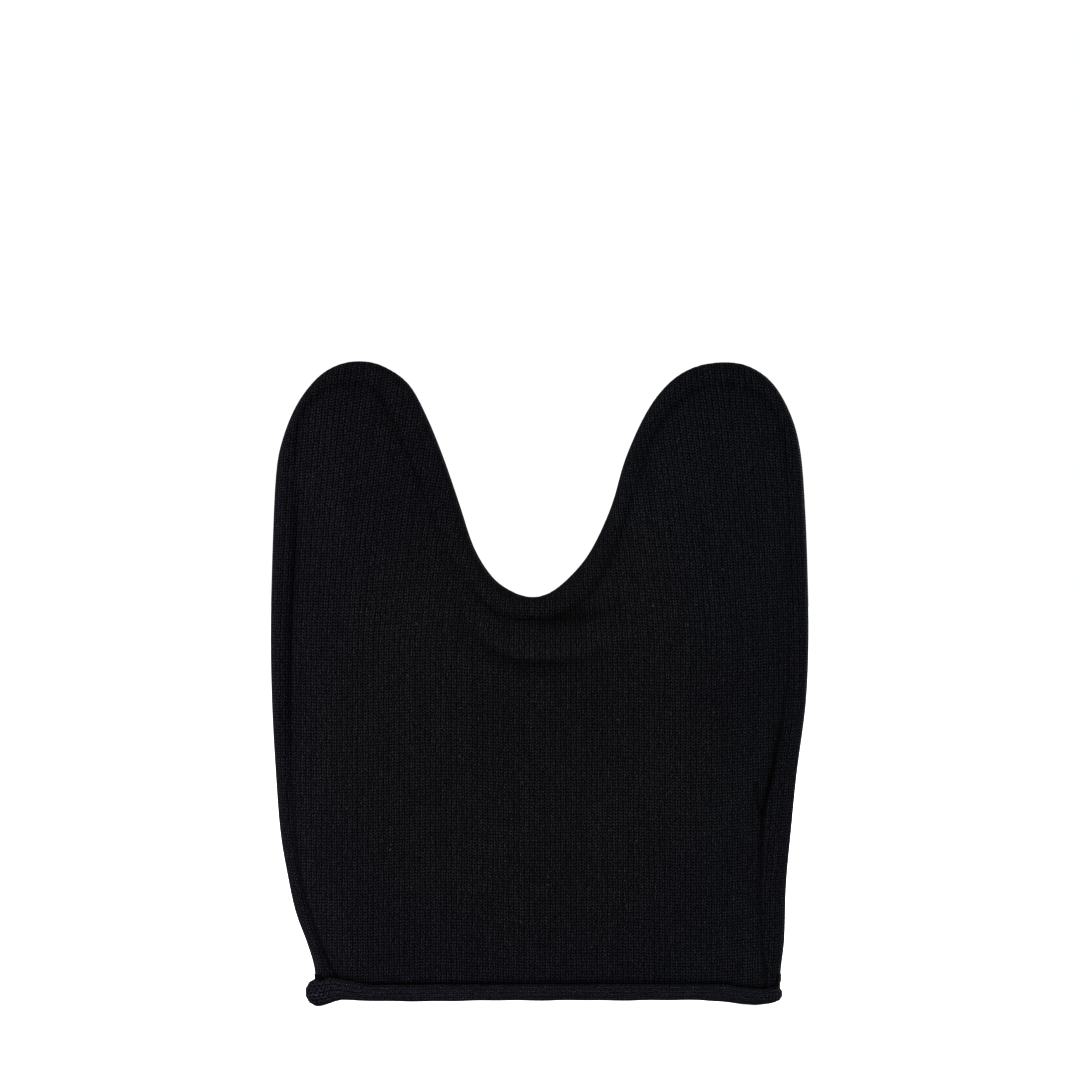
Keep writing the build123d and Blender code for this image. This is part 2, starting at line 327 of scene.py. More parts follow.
def knit_sheet(name, half, back):
    """Half of a knit panel: half is -1 on the left and 1 on the right."""
    quad_wide = wale / quads_per_wale
    across = int(round(half_wide / quad_wide))
    up = int(round(panel_high / course))
    bm = bmesh.new()
    bmesh.ops.create_grid(bm, x_segments=across, y_segments=up, size=0.5)
    # The flat cloth, with its first column brought to the middle line of the hood.
    flat = np.array([v.co for v in bm.verts])[:, :2]
    flat = (flat + 0.5) * (across * quad_wide, panel_high) + (0, panel_foot)
    flat[:, 0] = np.where(flat[:, 0] < 0.7, np.minimum(flat[:, 0], 0.03), flat[:, 0]) * half
    # It is cut outside the seam allowance, and the front one along the face opening too.
    cut = edge_wrap + allowance
    inset = sample(inset_field, flat[:, 0], flat[:, 1])
    keep = inset > -cut
    if not back:
        oval = np.hypot(flat[:, 0] / face_half_width, (flat[:, 1] - face_z) / face_half_height)
        keep &= oval > 1
    for v, (x, z) in zip(bm.verts, flat):
        v.co = (x, z, 0)
    bm.verts.index_update()
    spare = [f for f in bm.faces if sum(keep[v.index] for v in f.verts) < 3]
    bmesh.ops.delete(bm, geom=spare, context="FACES")
    bmesh.ops.delete(bm, geom=[v for v in bm.verts if not v.link_faces], context="VERTS")
    bm.verts.index_update()
    flat = np.array([v.co for v in bm.verts], float)[:, :2]
    rim = np.array([v.is_boundary for v in bm.verts])
    rim &= (np.abs(flat[:, 0]) > 0.01) & (flat[:, 1] > panel_foot + 0.01)
    outer = rim & (sample(inset_field, flat[:, 0], flat[:, 1]) < -cut + 5)
    for _ in range(2):
        inset = sample(inset_field, flat[:, 0], flat[:, 1])
        way = np.stack([sample(way_x_field, *flat.T), sample(way_z_field, *flat.T)], axis=1)
        way /= np.linalg.norm(way, axis=1)[:, None]
        flat[outer] -= (way * (inset + cut)[:, None])[outer]
    if not back:
        scale = np.array([face_half_width, face_half_height])
        centred = (flat - (0, face_z)) / scale
        ring = rim & ~outer
        centred[ring] /= np.linalg.norm(centred[ring], axis=1)[:, None]
        flat = centred * scale + (0, face_z)
    # Its edge goes round the silhouette and runs back inside, and its face takes the hood's relief.
    x, z = flat.T
    inset = sample(inset_field, x, z)
    way = np.stack([sample(way_x_field, x, z), sample(way_z_field, x, z)], axis=1)
    way /= np.linalg.norm(way, axis=1)[:, None]
    turn = np.clip((inset + edge_wrap) / (edge_round + edge_wrap), 0, 1)
    moved = np.where(turn < 1, edge_round * (1 - np.cos(turn * pi / 2)), inset)
    tucked = np.maximum(-inset - edge_wrap, 0)
    moved = moved + tucked
    place = flat + way * (moved - inset)[:, None]
    columns, rows = stitch_grid(x, z)
    ribs = rib_high * (0.5 - 0.5 * np.cos(2 * pi * columns)) * (0.4 + 0.6 * turn)
    ribs = np.where(tucked > 0, 0, ribs)
    rise = relief(x, z, back) + ribs
    depth = rise * np.sin(turn * pi / 2)
    side = -1 if back else 1
    where = np.stack([place[:, 0], side * depth, place[:, 1]], axis=1) * mm
    for v, co in zip(bm.verts, where):
        v.co = co
    uv = bm.loops.layers.uv.new("stitches")
    for face in bm.faces:
        for loop in face.loops:
            i = loop.vert.index
            loop[uv].uv = (columns[i], rows[i])
    for edge in bm.edges:
        edge.smooth = not edge.is_boundary
    mesh = bpy.data.meshes.new(name)
    bm.to_mesh(mesh)
    bm.free()
    outward = sum(p.normal.y * p.area for p in mesh.polygons)
    if outward * side < 0:
        mesh.flip_normals()
    mesh.polygons.foreach_set("use_smooth", [True] * len(mesh.polygons))
    # The stitches' pull and the painted shade, with its painted light, are stored on the points for the
    # material.
    opened = sample(open_field, x, z)
    pull, shade = tone_of(x, z, opened, back)
    for key, values in (("pull", pull), ("shade", shade)):
        store = mesh.attributes.new(key, "FLOAT", "POINT")
        store.data.foreach_set("value", values.astype(np.float32))
    piece = bpy.data.objects.new(name, mesh)
    bpy.context.scene.collection.objects.link(piece)
    return piece


class Nodes:
    """Short calls for building a material's nodes."""

    def __init__(self, name):
        self.material = bpy.data.materials.new(name)
        self.material.use_nodes = True
        self.tree = self.material.node_tree
        self.shader = self.tree.nodes["Principled BSDF"]

    def new(self, kind, **inputs):
        node = self.tree.nodes.new(kind)
        for key, value in inputs.items():
            self.put(node, key.replace("_", " "), value)
        return node

    def put(self, node, key, value):
        target = node.inputs[int(key)] if key.isdigit() else node.inputs[key]
        if isinstance(value, bpy.types.NodeSocket):
            self.tree.links.new(value, target)
        else:
            target.default_value = value

    def math(self, operation, a, b=0.0):
        node = self.tree.nodes.new("ShaderNodeMath")
        node.operation = operation
        self.put(node, "0", a)
        self.put(node, "1", b)
        return node.outputs[0]

    def mix(self, share, a, b):
        node = self.tree.nodes.new("ShaderNodeMix")
        node.data_type = "RGBA"
        self.tree.links.new(share, node.inputs["Factor"])
        for key, value in (("A", a), ("B", b)):
            socket = [s for s in node.inputs if s.name == key and s.type == "RGBA"][0]
            if isinstance(value, bpy.types.NodeSocket):
                self.tree.links.new(value, socket)
            else:
                socket.default_value = (*value, 1)
        return [s for s in node.outputs if s.type == "RGBA"][0]

    def times(self, color, factor):
        node = self.tree.nodes.new("ShaderNodeVectorMath")
        node.operation = "SCALE"
        self.put(node, "0", color)
        self.put(node, "Scale", factor)
        return node.outputs[0]


def cloth_finish(n, specular, sheen):
    n.shader.inputs["Specular IOR Level"].default_value = specular
    n.shader.inputs["Sheen Weight"].default_value = sheen
    n.shader.inputs["Sheen Roughness"].default_value = 0.45
    n.shader.inputs["Sheen Tint"].default_value = (0.75, 0.75, 0.95, 1)


neutral_black = (0.0122, 0.0122, 0.0142)
violet_black = (0.0119, 0.0112, 0.0156)
slate_black = (0.0103, 0.0111, 0.0143)
lint_grey = (0.042, 0.044, 0.044)


def knit_material(name, purl, gain, shaded_gap_level, slant=0.75):
    """Black stockinette: two slanting legs a stitch, drawn from the piece's own stitch counts."""
    n = Nodes(name)
    # The yarn's height in one stitch: two legs on the face, and arches on the purl side.
    uv = n.new("ShaderNodeUVMap")
    uv.uv_map = "stitches"
    split = n.new("ShaderNodeSeparateXYZ", Vector=uv.outputs[0])
    wobble = n.new("ShaderNodeTexNoise", Vector=uv.outputs[0], Scale=0.35, Detail=1.0)
    shake = n.math("MULTIPLY", n.math("SUBTRACT", wobble.outputs[0], 0.5), 0.45)
    u = n.math("ADD", split.outputs[0], n.math("MULTIPLY", shake, 0.9))
    v = n.math("ADD", split.outputs[1], shake)
    local = n.math("SUBTRACT", n.math("FRACT", u), 0.5)
    away = n.math("ABSOLUTE", local)
    if purl:
        arch = n.math("COSINE", n.math("MULTIPLY", local, 2 * pi))
        phase = n.math("SUBTRACT", v, n.math("MULTIPLY", arch, 0.25))
        wave = n.math("COSINE", n.math("MULTIPLY", phase, 2 * pi))
        height = n.math("ADD", 0.5, n.math("MULTIPLY", wave, 0.5))
    else:
        leg = n.math("SINE", n.math("MULTIPLY", away, 2 * pi))
        leg = n.math("MAXIMUM", leg, 0.0)
        heart = n.math("MULTIPLY", n.math("SUBTRACT", 0.5, away), 0.88)
        body = n.math("ADD", n.math("MULTIPLY", leg, 1.33), n.math("SUBTRACT", heart, 0.45))
        phase = n.math("SUBTRACT", v, n.math("MULTIPLY", away, slant))
        wave = n.math("COSINE", n.math("MULTIPLY", phase, 2 * pi))
        pull = n.new("ShaderNodeAttribute")
        pull.attribute_name = "pull"
        slack = n.math("SUBTRACT", 1.0, n.math("MULTIPLY", pull.outputs["Fac"], 0.75))
        dip = n.math("MULTIPLY", n.math("MULTIPLY", wave, slack), 0.08)
        height = n.math("MULTIPLY", body, n.math("ADD", 0.92, dip))
        height = n.math("ADD", height, n.math("MULTIPLY", dip, 7.4))
        height = n.math("POWER", n.math("MAXIMUM", height, 0.0), 0.47)

    # Each leg has its own tone, and its fibres and the machine's streaks vary it.
    legs = n.math("FLOOR", n.math("MULTIPLY", u, 2.0))
    cell = n.new("ShaderNodeCombineXYZ", X=legs, Y=n.math("FLOOR", phase))
    each = n.new("ShaderNodeTexWhiteNoise", Vector=cell.outputs[0])
    object_place = n.new("ShaderNodeTexCoord").outputs["Object"]
    hair_x = n.math("FLOOR", n.math("MULTIPLY", u, 6.0))
    hair_y = n.math("FLOOR", n.math("MULTIPLY", phase, 3.0))
    hair = n.new("ShaderNodeCombineXYZ", X=hair_x, Y=hair_y)
    next_hair = n.new("ShaderNodeCombineXYZ", X=n.math("ADD", hair_x, 1.0), Y=hair_y)
    grain = n.new("ShaderNodeTexWhiteNoise", Vector=hair.outputs[0])
    next_grain = n.new("ShaderNodeTexWhiteNoise", Vector=next_hair.outputs[0])
    grain = n.math("SUBTRACT", grain.outputs[0], next_grain.outputs[0])
    fibre = n.new("ShaderNodeTexNoise", Vector=object_place, Scale=1300.0, Detail=3.0, Roughness=0.7)
    cloud = n.new("ShaderNodeTexNoise", Vector=object_place, Scale=11.0, Detail=3.0, Roughness=0.55)
    streak_map = n.new("ShaderNodeCombineXYZ", X=u, Y=n.math("MULTIPLY", v, 0.03))
    streak = n.new("ShaderNodeTexNoise", Vector=streak_map.outputs[0], Scale=0.9, Detail=2.0)

    # Painted shade and highlight: the colour is lighter where the yarn stands high and darker in the
    # gaps between its legs.
    light = n.math("ADD", shaded_gap_level, n.math("MULTIPLY", height, 1.0 - shaded_gap_level))
    light = n.math("MULTIPLY", light, n.math("ADD", 0.8, n.math("MULTIPLY", each.outputs[0], 0.4)))
    grain = n.math("MAXIMUM", n.math("ADD", 1.0, n.math("MULTIPLY", grain, 1.35)), 0.05)
    light = n.math("MULTIPLY", light, grain)
    light = n.math("MULTIPLY", light, n.math("MULTIPLY", fibre.outputs[0], 2.0))
    light = n.math("MULTIPLY", light, n.math("ADD", 0.75, n.math("MULTIPLY", streak.outputs[0], 0.5)))
    light = n.math("MULTIPLY", light, n.math("ADD", 0.8, n.math("MULTIPLY", cloud.outputs[0], 0.4)))
    # Painted shade: the colour is darkened by the piece's shade values, and lightened as painted light
    # where they are below zero.
    shade = n.new("ShaderNodeAttribute")
    shade.attribute_name = "shade"
    light = n.math("MULTIPLY", light, n.math("SUBTRACT", 1.0, shade.outputs["Fac"]))

    # Painted light and shade by height, then the dye: a worn neutral middle, violet at the lower left,
    # slate at the right and the top.
    spot = n.new("ShaderNodeSeparateXYZ", Vector=object_place)
    # Painted light and shade: the cloth is made lighter towards the bottom and darker towards the top.
    painted_light_by_height = n.math("SUBTRACT", 1.05, n.math("MULTIPLY", spot.outputs[2], 0.42))
    light = n.math("MULTIPLY", light, painted_light_by_height)
    off_x = n.math("DIVIDE", n.math("ADD", spot.outputs[0], 0.010), 0.085)
    off_z = n.math("DIVIDE", n.math("SUBTRACT", spot.outputs[2], 0.13), 0.095)
    off = n.math("ADD", n.math("MULTIPLY", off_x, off_x), n.math("MULTIPLY", off_z, off_z))
    worn = n.math("MULTIPLY", n.math("SUBTRACT", 1.3, n.math("SQRT", off)), 1.5)
    worn = n.math("ADD", worn, n.math("MULTIPLY", n.math("SUBTRACT", cloud.outputs[0], 0.5), 2.0))
    worn = n.math("MINIMUM", n.math("MAXIMUM", worn, 0.0), 1.0)
    across = n.math("ADD", n.math("DIVIDE", spot.outputs[0], 0.24), 0.4)
    across = n.math("ADD", across, n.math("MULTIPLY", spot.outputs[2], 1.4))
    across = n.math("ADD", across, n.math("MULTIPLY", n.math("SUBTRACT", cloud.outputs[0], 0.5), 2.2))
    across = n.math("MINIMUM", n.math("MAXIMUM", across, 0.0), 1.0)
    tint = n.mix(worn, n.mix(across, violet_black, slate_black), neutral_black)
    toned = n.times(tint, n.math("MULTIPLY", light, gain))

    # Specks of pale lint, few and faint.
    lint = n.new("ShaderNodeTexVoronoi", Vector=object_place, Scale=250.0)
    rare = n.new("ShaderNodeSeparateColor", Color=lint.outputs["Color"])
    reach = n.math("ADD", 0.05, n.math("MULTIPLY", rare.outputs[2], 0.09))
    small = n.math("LESS_THAN", lint.outputs["Distance"], reach)
    speck = n.math("MULTIPLY", small, n.math("GREATER_THAN", rare.outputs[0], 0.8))
    faint = n.math("POWER", rare.outputs[1], 2.0)
    speck = n.math("MULTIPLY", speck, n.math("ADD", 0.1, n.math("MULTIPLY", faint, 0.8)))
    color = n.mix(speck, toned, lint_grey)
    n.put(n.shader, "Base Color", color)
    n.put(n.shader, "Roughness", n.math("SUBTRACT", 0.98, n.math("MULTIPLY", height, 0.12)))
    cloth_finish(n, 0.02, 0.004)
    bump = n.new("ShaderNodeBump", Strength=0.9, Distance=0.0006)
    n.put(bump, "Height", n.math("ADD", height, n.math("MULTIPLY", fibre.outputs[0], 0.35)))
    n.put(n.shader, "Normal", bump.outputs[0])
    return n.material


def bend_with_horn(piece):
    """Bakes the piece's transform into its mesh."""
    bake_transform(piece)


black_knit = knit_material("black_stockinette", False, 1.12, 0.16)
purl_side = knit_material("black_purl_side", True, 0.8, 0.25)
for back, panel in ((True, "back"), (False, "front")):
    for half, hand in ((-1, "left"), (1, "right")):
        cloth = knit_sheet(f"{panel}_panel_{hand}_half", half, back)
        cloth.data.materials.append(black_knit)
        cloth.data.materials.append(purl_side)
        wall = cloth.modifiers.new("thickness", "SOLIDIFY")
        wall.thickness = knit_thick * mm
        wall.offset = -1
        wall.material_offset = 1
        bend_with_horn(cloth)
        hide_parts(f"{panel}_panel", f"{hand}_horn_{panel}", f"{hand}_fold_cloth")


# ---------------------------------------------------------------------------
# The hem roll. A narrow strip of the same knit, linked to the foot of the hood, that curls on
# itself. Its columns run along the hem, and it bulges in a knob where it turns round the left end.
# ---------------------------------------------------------------------------
roll_wales, roll_course = 11, 1.25
roll_around = 42
roll_rib = 0.05


def sweep(name, centre, lift, around, width, height, closed, wales=0, rib=0.0, row=1.0, wave=None):
    """A round strand along a line: lift points roughly up from it, width and height are half sizes."""
    # The directions across the line at each of its points, and how far along it each one is.
    count = len(centre)
    follow = np.roll(centre, -1, axis=0) - np.roll(centre, 1, axis=0)
    if not closed:
        follow[0], follow[-1] = centre[1] - centre[0], centre[-1] - centre[-2]
    follow /= np.linalg.norm(follow, axis=1)[:, None]
    side = np.cross(follow, lift)
    side /= np.linalg.norm(side, axis=1)[:, None]
    up = np.cross(side, follow)
    steps = np.linalg.norm(np.diff(centre, axis=0, append=centre[:1]), axis=1)
    far = np.concatenate([[0], np.cumsum(steps)])[:count + 1]
    # A grid rolled into a tube round the line, with its seam welded and its open ends capped.
    bm = bmesh.new()
    bmesh.ops.create_grid(bm, x_segments=count if closed else count - 1, y_segments=around, size=0.5)
    total = count + 1 if closed else count
    i = np.tile(np.arange(total), around + 1)
    j = np.repeat(np.arange(around + 1), total)
    angle = 2 * pi * j / around
    ring = i % count
    grow = 1 + rib * (0.5 - 0.5 * np.cos(wales * angle))
    if wave is not None:
        grow = grow + wave(far[i], angle)
    out = side[ring] * (np.cos(angle) * width[ring])[:, None]
    out += up[ring] * (np.sin(angle) * height[ring])[:, None]
    where = (centre[ring] + out * grow[:, None]) * mm
    for v, co in zip(bm.verts, where):
        v.co = co
    uv = bm.loops.layers.uv.new("stitches")
    for face in bm.faces:
        for loop in face.loops:
            k = loop.vert.index
            loop[uv].uv = (angle[k] / (2 * pi) * max(wales, 1), far[i[k]] / row)
    bmesh.ops.remove_doubles(bm, verts=bm.verts[:], dist=0.00001)
    if not closed:
        bmesh.ops.holes_fill(bm, edges=[e for e in bm.edges if e.is_boundary], sides=around + 1)
    bmesh.ops.recalc_face_normals(bm, faces=bm.faces[:])
    for face in bm.faces:
        face.smooth = True
    mesh = bpy.data.meshes.new(name)
    bm.to_mesh(mesh)
    bm.free()
    piece = bpy.data.objects.new(name, mesh)
    bpy.context.scene.collection.objects.link(piece)
    return piece


def evenly(line, step, closed=False):
    """Points an even step apart along a line."""
    if closed:
        line = np.concatenate([line, line[:1]])
    far = np.concatenate([[0], np.cumsum(np.linalg.norm(np.diff(line, axis=0), axis=1))])
    count = int(round(far[-1] / step))
    at = np.linspace(0, far[-1], count + 1)
    if closed:
        at = at[:-1]
    return np.stack([np.interp(at, far, line[:, k]) for k in range(3)], axis=1)


def hem_bottom(x):
    return np.interp(x, [-108, -105, -102, -99.8, -96, -91, -83, -67, 0, 73.6, 83.7, 92, 99, 105, 110],
                     [1.6, 0.2, -0.4, 0.5, 1.8, 2.7, 2.4, 2.5, 3.0, 3.0, 2.3, 1.1, 0.55, 0.8, 1.4])


def roll_plan(back):
    """The middle of the hem roll on one face, from the left end to the right one."""
    x = np.linspace(-96, 101, 60)
    y = relief(x, np.full(len(x), 14.0), back) - 1.3
    y = np.convolve(np.pad(y, 3, mode="edge"), np.full(7, 1 / 7), mode="valid")
    x = np.concatenate([[-103.2, -102.7, -100.6], x, [105.2, 107.4, 108.0]])
    y = np.concatenate([[0.0, 2.6, 4.7], y, [5.0, 2.8, 0.0]])
    return np.stack([x, -y if back else y, np.zeros(len(x))], axis=1)


behind, ahead = roll_plan(True), roll_plan(False)
plan = np.concatenate([behind[:-1], ahead[::-1][:-1]])
plan = evenly(plan, 0.55, closed=True)
for _ in range(12):
    plan = (np.roll(plan, 1, axis=0) + 2 * plan + np.roll(plan, -1, axis=0)) / 4
roll_up, roll_down = hem_top(plan[:, 0]), hem_bottom(plan[:, 0])
plan[:, 2] = (roll_up + roll_down) / 2
tall = (roll_up - roll_down) / 2
roll_half, knob_more, right_end_more = 3.3, 1.3, 0.3
knob = hump(plan[:, 0] + 103, 4)
wide = roll_half + knob_more * knob + right_end_more * hump(plan[:, 0] - 108, 4)
upright = np.tile([0.0, 0.0, 1.0], (len(plan), 1))


def roll_slack(far, angle):
    """The strip curls a little looser in some places than in others."""
    return 0.03 * np.sin(far / 7.3 + np.sin(far / 19)) + 0.02 * np.sin(far / 3.1 + angle)


hem_roll = sweep("hem_roll_cloth", plan, upright, roll_around, wide, tall, True, wales=roll_wales,
                 rib=roll_rib, row=roll_course, wave=roll_slack)
roll_knit = knit_material("black_rolled_strip", False, 1.6, 0.2, slant=1.3)
hem_roll.data.materials.append(roll_knit)
roll_x = np.array([v.co.x for v in hem_roll.data.vertices]) / mm
knob_shade = 0.25 * hump(roll_x + 105, 5.0)
roll_shade = hem_roll.data.attributes.new("shade", "FLOAT", "POINT")
roll_shade.data.foreach_set("value", knob_shade.astype(np.float32))
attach(hem_roll, "hood")
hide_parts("hem_roll")

# ---------------------------------------------------------------------------
# The face roll. The same curled strip of knit, linked round the oval face opening in the front
# panel, with its edge curled outwards.
# ---------------------------------------------------------------------------
turn = np.linspace(0, 2 * pi, 600, endpoint=False)
oval_x = (face_half_width + 0.4) * np.cos(turn)
oval_z = face_z + (face_half_height + 0.4) * np.sin(turn)
face_line = np.stack([oval_x, relief(oval_x, oval_z, False) - 1.1, oval_z], axis=1)
face_line = evenly(face_line, 0.6, closed=True)
outward = face_line - (0, 0, face_z)
outward[:, 1] = 0
face_roll_half = np.full(len(face_line), 3.5)
face_roll = sweep("face_roll_cloth", face_line, outward, roll_around, face_roll_half, face_roll_half,
                  True, wales=roll_wales, rib=roll_rib, row=roll_course, wave=roll_slack)
face_roll.data.materials.append(roll_knit)
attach(face_roll, "hood")
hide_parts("face_roll")

# ---------------------------------------------------------------------------
# The overlock seam. A thread is whipped over the raw edges of both seam allowances, inside the
# hood, from the hem up over each horn and down into the dip. It is made in two halves.
# ---------------------------------------------------------------------------
thread_paint = Nodes("black_textured_thread")
twist_uv = thread_paint.new("ShaderNodeUVMap")
twist_uv.uv_map = "stitches"
twist = thread_paint.new("ShaderNodeTexWave", Vector=twist_uv.outputs[0], Scale=1.6, Distortion=1.5)
twist.bands_direction = "DIAGONAL"
ply = thread_paint.new("ShaderNodeTexNoise", Scale=900.0, Detail=2.0)
strand = thread_paint.math("MULTIPLY", twist.outputs["Fac"], ply.outputs[0])
thread_paint.put(thread_paint.shader, "Base Color",
                 thread_paint.mix(strand, (0.002, 0.002, 0.003), (0.007, 0.0065, 0.009)))
thread_paint.put(thread_paint.shader, "Roughness",
                 thread_paint.math("SUBTRACT", 0.8, thread_paint.math("MULTIPLY", strand, 0.3)))
cloth_finish(thread_paint, 0.03, 0.002)
ply_bump = thread_paint.new("ShaderNodeBump", Strength=0.7, Distance=0.0002)
thread_paint.put(ply_bump, "Height", twist.outputs["Fac"])
thread_paint.put(thread_paint.shader, "Normal", ply_bump.outputs[0])


def thread(name, line, radius, out):
    strand = sweep(name, line, out, 5, np.full(len(line), radius), np.full(len(line), radius), False,
                   wales=2, row=0.6)
    strand.data.materials.append(thread_paint.material)
    return strand


def coil(line, across, reach, depth, pitch, steps=8):
    """A whipped line round a straight or curved core: across and depth are its two directions."""
    far = np.concatenate([[0], np.cumsum(np.linalg.norm(np.diff(line, axis=0), axis=1))])
    at = np.arange(0, far[-1], pitch / steps)
    core = np.stack([np.interp(at, far, line[:, k]) for k in range(3)], axis=1)
    side = np.stack([np.interp(at, far, across[:, k]) for k in range(3)], axis=1)
    side /= np.linalg.norm(side, axis=1)[:, None]
    angle = 2 * pi * at / pitch
    through = np.array(depth[1])
    out = side * (reach * np.cos(angle))[:, None] + through * (depth[0] * np.sin(angle))[:, None]
    return core + out, out


seam_inset = allowance - 0.6
over_reach, over_depth, over_pitch = 2.4, 2.75, 2.6
edge_line = outline[(outline[:, 1] > 12)]
run = np.gradient(edge_line, axis=0)
inward = np.stack([run[:, 1], -run[:, 0]], axis=1)
inward /= np.linalg.norm(inward, axis=1)[:, None]
seam_line = edge_line + inward * seam_inset
seam_line = np.stack([seam_line[:, 0], np.zeros(len(seam_line)), seam_line[:, 1]], axis=1)
seam_way = np.stack([inward[:, 0], np.zeros(len(inward)), inward[:, 1]], axis=1)
for half, hand in ((-1, "left"), (1, "right")):
    mine = seam_line[:, 0] * half > 0
    path, out = coil(seam_line[mine], seam_way[mine], over_reach, (over_depth, (0, 1, 0)), over_pitch)
    overlock = thread(f"{hand}_overlock_thread", path, 0.22, out)
    bend_with_horn(overlock)
    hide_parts(f"{hand}_side_seam_thread", f"{hand}_horn_seam_thread", "crown_seam_thread")

# ---------------------------------------------------------------------------
# The linking threads. Two-ply chains, on the inside, that hold the rolls to the cloth. One runs
# along the hem of each panel, and one goes round the face opening.
# ---------------------------------------------------------------------------
link_thick, link_wide, link_pitch, link_radius = 0.28, 0.42, 2.4, 0.2
link_gap = knit_thick + 0.45
link_x = np.linspace(-79, 79, 160)
link_count = len(link_x)
for back, panel in ((True, "back"), (False, "front")):
    y = relief(link_x, np.full(link_count, 12.5), back) - link_gap
    line = np.stack([link_x, -y if back else y, np.full(link_count, 11.4)], axis=1)
    through = np.tile([0.0, 1.0, 0.0], (link_count, 1))
    path, out = coil(line, through, link_thick, (link_wide, (0, 0, 1)), link_pitch)
    chain = thread(f"{panel}_hem_chain", path, link_radius, out)
    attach(chain, "hood")
    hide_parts("hem_linking_thread")

ring_x = (face_half_width + 4.4) * np.cos(turn)
ring_z = face_z + (face_half_height + 4.4) * np.sin(turn)
ring_line = np.stack([ring_x, relief(ring_x, ring_z, False) - link_gap, ring_z], axis=1)
ring_way = ring_line - (0, 0, face_z)
ring_way[:, 1] = 0
path, out = coil(ring_line, ring_way, link_wide, (link_thick, (0, 1, 0)), link_pitch)
face_chain = thread("face_chain", path, link_radius, out)
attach(face_chain, "hood")
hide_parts("face_linking_thread")

# ---------------------------------------------------------------------------
# The hem tacks. Short satin bars of thread on the outside, just over the hem roll. They lock the
# foot of each side seam, where the roll's ends are caught.
# ---------------------------------------------------------------------------
tack_foot, tack_pitch, tack_rows, tack_proud = 10.6, 0.24, 15, 0.25
for half, hand in ((-1, "left"), (1, "right")):
    stops = []
    for k in range(tack_rows):
        z = tack_foot + tack_pitch * k
        edge_x = np.interp(z, outline[:40, 1], outline[:40, 0])
        if half > 0:
            edge_x = np.interp(z, outline[::-1][:40, 1], outline[::-1][:40, 0])
        bend = np.linspace(0.12, 0.95, 7)
        if k % 2:
            bend = bend[::-1]
        for t in bend:
            sideways = edge_round * (1 - cos(t * pi / 2)) - tack_proud
            stops.append((edge_x - half * sideways, -ridge_high * sin(t * pi / 2) - tack_proud, z))
    stops = np.array(stops)
    out = np.tile([half * 0.8, -0.6, 0.0], (len(stops), 1))
    tack = thread(f"{hand}_hem_tack", stops, 0.16, out)
    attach(tack, "hood")
    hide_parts("hem_tacks")

# ---------------------------------------------------------------------------
# The care label. A blank woven satin tab, caught in the left side seam and curling a little
# inside the hood, with a line of small stitches along its sewn edge.
# ---------------------------------------------------------------------------
tab_low, tab_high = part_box("care_label")
bm = bmesh.new()
bmesh.ops.create_grid(bm, x_segments=24, y_segments=36, size=0.5)
tab_uv = bm.loops.layers.uv.new("weave")
for face in bm.faces:
    for loop in face.loops:
        loop[tab_uv].uv = (loop.vert.co.x + 0.5, loop.vert.co.y + 0.5)
for v in bm.verts:
    far, tall_share = v.co.x + 0.5, v.co.y + 0.5
    curl = 0.0028 * far**2 * (0.7 + 0.3 * sin(3 * tall_share + 0.6))
    curl += 0.0004 * sin(9 * tall_share) * far
    v.co = (tab_low.x + far * (tab_high.x - tab_low.x) - 0.0006 * far**2,
            (tab_low.y + tab_high.y) / 2 + 0.0003 + curl,
            tab_low.z + tall_share * (tab_high.z - tab_low.z))
for face in bm.faces:
    face.smooth = True
tab_mesh = bpy.data.meshes.new("care_label_tab")
bm.to_mesh(tab_mesh)
bm.free()
tab = bpy.data.objects.new("care_label_tab", tab_mesh)
bpy.context.scene.collection.objects.link(tab)
tab_wall = tab.modifiers.new("thickness", "SOLIDIFY")
tab_wall.thickness = 0.00035
tab_wall.offset = 0
satin = Nodes("pale_woven_satin")
tab_place = satin.new("ShaderNodeUVMap")
tab_place.uv_map = "weave"
ribs = satin.new("ShaderNodeTexWave", Vector=tab_place.outputs[0], Scale=38.0, Distortion=0.4)
ribs.bands_direction = "Y"
warp = satin.new("ShaderNodeTexWave", Vector=tab_place.outputs[0], Scale=22.0, Distortion=0.3)
weave = satin.math("MULTIPLY", ribs.outputs["Fac"], warp.outputs["Fac"])
satin.put(satin.shader, "Base Color", satin.mix(weave, (0.42, 0.42, 0.41), (0.62, 0.62, 0.60)))
satin.put(satin.shader, "Roughness", satin.math("SUBTRACT", 0.6, satin.math("MULTIPLY", weave, 0.2)))
satin.shader.inputs["Sheen Weight"].default_value = 0.2
weave_bump = satin.new("ShaderNodeBump", Strength=0.5, Distance=0.0001)
satin.put(weave_bump, "Height", weave)
satin.put(satin.shader, "Normal", weave_bump.outputs[0])
tab.data.materials.append(satin.material)
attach(tab, "hood")
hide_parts("care_label")

stitch_low, stitch_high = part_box("label_stitches")
stops = []
stitch_count, stitch_share = 8, 0.62
pitch = (stitch_high.z - stitch_low.z) / 7.6 / mm
middle_x = (stitch_low.x + stitch_high.x) / 2 / mm
stitch_y = stitch_low.y / mm
for k in range(stitch_count):
    foot = stitch_low.z / mm + k * pitch
    for share in np.linspace(0, 1, 7):
        bow = 0.55 * sin(pi * share)
        stops.append((middle_x, stitch_y - 0.35 + bow, foot + share * pitch * stitch_share))
    stops.append((middle_x, stitch_y - 0.45, foot + pitch * 0.8))
stops = np.array(stops)
out = np.tile([1.0, 0.0, 0.0], (len(stops), 1))
label_seam = thread("label_stitch_line", stops, 0.2, out)
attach(label_seam, "hood")
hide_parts("label_stitches")

